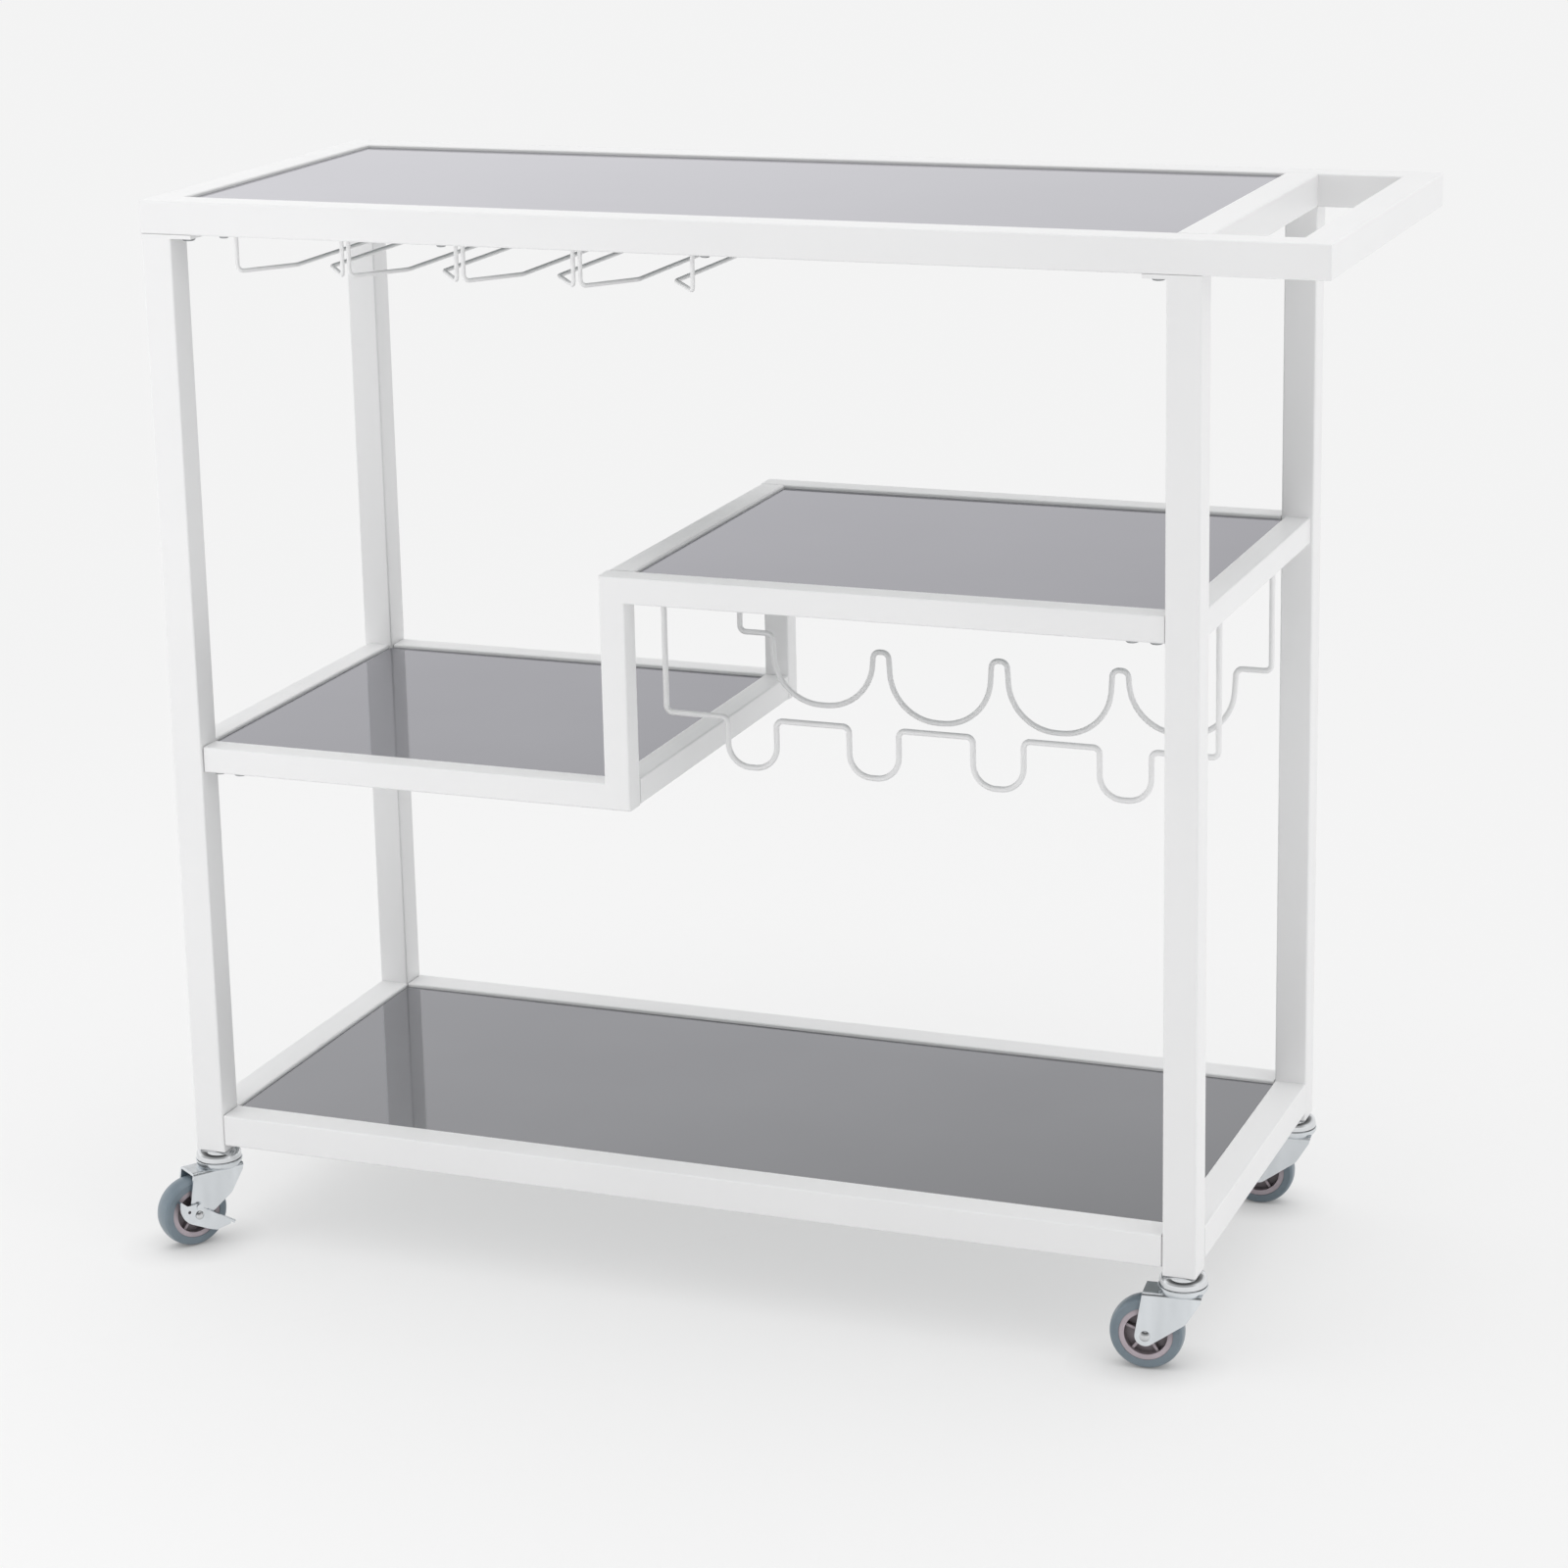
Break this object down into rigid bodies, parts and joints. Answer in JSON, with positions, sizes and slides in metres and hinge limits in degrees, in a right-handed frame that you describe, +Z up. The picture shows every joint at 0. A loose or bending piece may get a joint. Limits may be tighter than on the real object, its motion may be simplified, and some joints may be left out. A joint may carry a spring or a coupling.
{
  "type": "bar cart",
  "caption": "Rolling bar cart of white square tube with tinted mirror shelves on stepped levels, wire racks for stemware and bottles, an end handle and swivel casters.",
  "frame": {"origin": "on the floor, in the middle of the cart's outline at rest", "axes": "+X along the cart towards the handle, +Y from the front to the back, +Z up"},
  "size_m": [0.9242, 0.421, 0.8265],
  "materials": {
    "white_powder_coat": "white satin powder coat on steel",
    "tinted_mirror": "grey-tinted mirrored glass with polished edges",
    "clear_pad": "soft translucent bumper",
    "zinc_screw": "bright zinc plate",
    "plug_plastic": "moulded",
    "chromed_cap": "polished chrome plate",
    "zinc_fork": "bright zinc plate",
    "axle_steel": "bright rivet",
    "hub_plastic": "moulded mauve-grey",
    "grey_tyre": "smooth blue-grey rubber"
  },
  "bodies": {
    "cart": {"top_front_rail": "white_powder_coat", "top_rear_rail": "white_powder_coat", "top_left_rail": "white_powder_coat", "top_cross_rail": "white_powder_coat", "handle_rail": "white_powder_coat", "leg_front_left": "white_powder_coat", "leg_front_right": "white_powder_coat", "leg_rear_left": "white_powder_coat", "leg_rear_right": "white_powder_coat", "left_side_mid_rail": "white_powder_coat", "left_side_low_rail": "white_powder_coat", "right_side_mid_rail": "white_powder_coat", "right_side_low_rail": "white_powder_coat", "bottom_front_rail": "white_powder_coat", "bottom_rear_rail": "white_powder_coat", "step_front_low_rail": "white_powder_coat", "step_front_post": "white_powder_coat", "step_front_high_rail": "white_powder_coat", "step_rear_low_rail": "white_powder_coat", "step_rear_post": "white_powder_coat", "step_rear_high_rail": "white_powder_coat", "step_low_cross_rail": "white_powder_coat", "step_high_cross_rail": "white_powder_coat", "stemware_bars": "white_powder_coat", "stemware_wires": "white_powder_coat", "bottle_neck_wire": "white_powder_coat", "bottle_cradle_wire": "white_powder_coat", "leg_plates": "white_powder_coat", "mirror_tabs": "white_powder_coat", "rail_tongues": "white_powder_coat", "top_mirror": "tinted_mirror", "low_mirror": "tinted_mirror", "high_mirror": "tinted_mirror", "bottom_mirror": "tinted_mirror", "mirror_pads": "clear_pad", "joint_screws": "zinc_screw", "rack_screws": "zinc_screw", "leg_inserts": "plug_plastic", "caster_caps": "chromed_cap", "caster_stems": "chromed_cap", "caster_balls": "chromed_cap"},
    "swivel_front_left": {"fork_front_left": "zinc_fork", "axle_front_left": "axle_steel"},
    "wheel_front_left": {"hub_front_left": "hub_plastic", "tyre_front_left": "grey_tyre"},
    "brake_front_left": {"brake_lever_front_left": "zinc_fork"},
    "swivel_front_right": {"fork_front_right": "zinc_fork", "axle_front_right": "axle_steel"},
    "wheel_front_right": {"hub_front_right": "hub_plastic", "tyre_front_right": "grey_tyre"},
    "swivel_rear_left": {"fork_rear_left": "zinc_fork", "axle_rear_left": "axle_steel"},
    "wheel_rear_left": {"hub_rear_left": "hub_plastic", "tyre_rear_left": "grey_tyre"},
    "brake_rear_left": {"brake_lever_rear_left": "zinc_fork"},
    "swivel_rear_right": {"fork_rear_right": "zinc_fork", "axle_rear_right": "axle_steel"},
    "wheel_rear_right": {"hub_rear_right": "hub_plastic", "tyre_rear_right": "grey_tyre"}
  },
  "joints": [
    {"name": "swivel_front_left", "type": "hinge", "parent": "cart", "child": "swivel_front_left", "pos_m": [-0.42589, -0.1635, 0.0615], "axis": [0, 0, 1], "continuous": true},
    {"name": "roll_front_left", "type": "hinge", "parent": "swivel_front_left", "child": "wheel_front_left", "pos_m": [-0.44081, -0.1848, 0.0275], "axis": [-0.8192, 0.5736, 0], "continuous": true},
    {"name": "brake_front_left", "type": "hinge", "parent": "swivel_front_left", "child": "brake_front_left", "pos_m": [-0.44081, -0.1848, 0.0275], "axis": [-0.8192, 0.5736, 0], "range_deg": [0, 20]},
    {"name": "swivel_front_right", "type": "hinge", "parent": "cart", "child": "swivel_front_right", "pos_m": [0.36111, -0.1635, 0.0615], "axis": [0, 0, 1], "continuous": true},
    {"name": "roll_front_right", "type": "hinge", "parent": "swivel_front_right", "child": "wheel_front_right", "pos_m": [0.33525, -0.16622, 0.0275], "axis": [-0.1045, 0.9945, 0], "continuous": true},
    {"name": "swivel_rear_left", "type": "hinge", "parent": "cart", "child": "swivel_rear_left", "pos_m": [-0.42589, 0.1635, 0.0615], "axis": [0, 0, 1], "continuous": true},
    {"name": "roll_rear_left", "type": "hinge", "parent": "swivel_rear_left", "child": "wheel_rear_left", "pos_m": [-0.44081, 0.1848, 0.0275], "axis": [0.8192, 0.5736, 0], "continuous": true},
    {"name": "brake_rear_left", "type": "hinge", "parent": "swivel_rear_left", "child": "brake_rear_left", "pos_m": [-0.44081, 0.1848, 0.0275], "axis": [0.8192, 0.5736, 0], "range_deg": [0, 20]},
    {"name": "swivel_rear_right", "type": "hinge", "parent": "cart", "child": "swivel_rear_right", "pos_m": [0.36111, 0.1635, 0.0615], "axis": [0, 0, 1], "continuous": true},
    {"name": "roll_rear_right", "type": "hinge", "parent": "swivel_rear_right", "child": "wheel_rear_right", "pos_m": [0.33525, 0.16078, 0.0275], "axis": [-0.1045, 0.9945, 0], "continuous": true}
  ]
}
